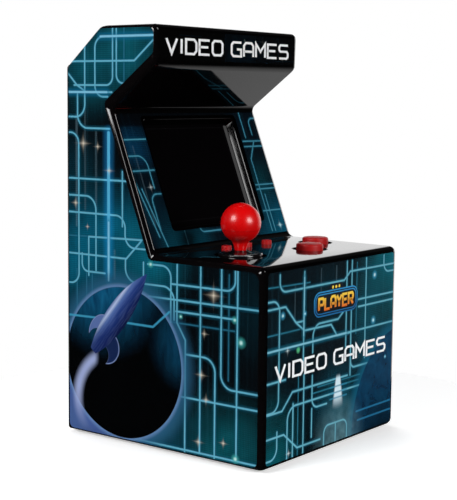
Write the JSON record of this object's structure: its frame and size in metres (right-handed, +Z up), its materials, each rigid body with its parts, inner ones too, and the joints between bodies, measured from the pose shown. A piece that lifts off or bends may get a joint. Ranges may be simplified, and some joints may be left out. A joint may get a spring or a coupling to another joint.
{
  "type": "mini arcade cabinet",
  "caption": "Palm-size upright arcade cabinet with a sloping screen, a ball-top joystick, round push buttons, a lit-style header and a battery bay at the back.",
  "frame": {"origin": "on the table, under the middle of the cabinet", "axes": "+X to the right as the player faces the cabinet, +Y from the player towards the back, +Z up"},
  "size_m": [0.0862, 0.09, 0.15],
  "materials": {
    "gloss_black_abs": "gloss black ABS moulding",
    "textured_black_abs": "textured black ABS moulding",
    "printed_vinyl_sticker": "printed vinyl film, dark teal with cyan lines",
    "red_abs": "gloss red ABS",
    "dark_red_abs": "dark red ABS",
    "smoked_acrylic": "clear acrylic over a dark screen",
    "grey_silicone": "grey silicone keypad sheet",
    "green_circuit_board": "green solder mask",
    "black_epoxy": "black epoxy",
    "tinned_spring_steel": "tinned spring steel",
    "zinc_plated_screw": "zinc-plated steel",
    "battery_wrap": "printed metal sleeve",
    "black_rubber": "matt black rubber",
    "speaker_paper": "pressed black paper",
    "polyester_ribbon": "flat polyester ribbon cable",
    "pvc_lead": "red PVC lead"
  },
  "bodies": {
    "cabinet": {"front_housing": "gloss_black_abs", "left_side_sticker": "printed_vinyl_sticker", "right_side_sticker": "printed_vinyl_sticker", "front_sticker": "printed_vinyl_sticker", "marquee_sticker": "printed_vinyl_sticker", "screen_surround_sticker": "printed_vinyl_sticker", "foot_front_left": "black_rubber", "foot_rear_left": "black_rubber", "foot_front_right": "black_rubber", "foot_rear_right": "black_rubber", "screen_lens": "smoked_acrylic", "lcd_module": "tinned_spring_steel", "stick_pivot_cup": "textured_black_abs", "stick_membrane": "grey_silicone", "action_membrane": "grey_silicone", "system_membrane": "grey_silicone", "control_board": "green_circuit_board", "control_board_screw_left": "zinc_plated_screw", "control_board_screw_right": "zinc_plated_screw", "main_board": "green_circuit_board", "main_board_screw_left": "zinc_plated_screw", "main_board_screw_right": "zinc_plated_screw", "game_chip": "black_epoxy", "display_ribbon": "polyester_ribbon", "control_ribbon": "polyester_ribbon", "power_board": "green_circuit_board", "volume_pot": "textured_black_abs", "power_switch_body": "tinned_spring_steel", "speaker_basket": "textured_black_abs", "speaker_cone": "speaker_paper", "rear_cover": "textured_black_abs", "battery_tray": "textured_black_abs", "speaker_lead": "pvc_lead", "battery_lead": "pvc_lead", "rear_screw_1": "zinc_plated_screw", "rear_screw_2": "zinc_plated_screw", "rear_screw_3": "zinc_plated_screw", "rear_screw_4": "zinc_plated_screw", "rear_screw_5": "zinc_plated_screw", "rear_screw_6": "zinc_plated_screw", "battery_1": "battery_wrap", "contact_plate_1": "tinned_spring_steel", "contact_spring_1": "tinned_spring_steel", "battery_2": "battery_wrap", "contact_plate_2": "tinned_spring_steel", "contact_spring_2": "tinned_spring_steel", "battery_3": "battery_wrap", "contact_plate_3": "tinned_spring_steel", "contact_spring_3": "tinned_spring_steel"},
    "button_a": {"button_a": "dark_red_abs"},
    "button_b": {"button_b": "dark_red_abs"},
    "button_reset": {"button_reset": "dark_red_abs"},
    "button_select": {"button_select": "dark_red_abs"},
    "button_start": {"button_start": "dark_red_abs"},
    "pivot_ball": {"stick_pivot_ball": "tinned_spring_steel"},
    "stick": {"dpad_rocker": "gloss_black_abs", "joystick": "red_abs"},
    "volume_wheel": {"volume_wheel": "textured_black_abs"},
    "power_switch": {"power_switch_knob": "textured_black_abs"},
    "battery_door": {"battery_door": "textured_black_abs"}
  },
  "joints": [
    {"name": "button_a_press", "type": "slide", "parent": "cabinet", "child": "button_a", "axis": [0, 0, -1], "range_m": [0, 0.0012], "stiffness_N_per_m": 900},
    {"name": "button_b_press", "type": "slide", "parent": "cabinet", "child": "button_b", "axis": [0, 0, -1], "range_m": [0, 0.0012], "stiffness_N_per_m": 900},
    {"name": "button_reset_press", "type": "slide", "parent": "cabinet", "child": "button_reset", "axis": [0, 0, -1], "range_m": [0, 0.0012], "stiffness_N_per_m": 600},
    {"name": "button_select_press", "type": "slide", "parent": "cabinet", "child": "button_select", "axis": [0, 0, -1], "range_m": [0, 0.0012], "stiffness_N_per_m": 600},
    {"name": "button_start_press", "type": "slide", "parent": "cabinet", "child": "button_start", "axis": [0, 0, -1], "range_m": [0, 0.0012], "stiffness_N_per_m": 600},
    {"name": "stick_left_right", "type": "hinge", "parent": "cabinet", "child": "pivot_ball", "pos_m": [-0.0215, -0.019, 0.0646], "axis": [0, 1, 0], "range_deg": [-6.5, 6.5], "stiffness_Nm_per_rad": 0.2},
    {"name": "stick_fore_aft", "type": "hinge", "parent": "pivot_ball", "child": "stick", "pos_m": [-0.0215, -0.019, 0.0646], "axis": [1, 0, 0], "range_deg": [-6.5, 6.5], "stiffness_Nm_per_rad": 0.2},
    {"name": "volume_turn", "type": "hinge", "parent": "cabinet", "child": "volume_wheel", "pos_m": [0.027, 0.038, 0.08], "axis": [0, 0, 1], "range_deg": [-135, 135]},
    {"name": "power_slide", "type": "slide", "parent": "cabinet", "child": "power_switch", "axis": [1, 0, 0], "range_m": [0, 0.0034]},
    {"name": "battery_door_tip", "type": "hinge", "parent": "cabinet", "child": "battery_door", "pos_m": [0, 0.0438, 0.0049], "axis": [-1, 0, 0], "range_deg": [0, 75]}
  ]
}
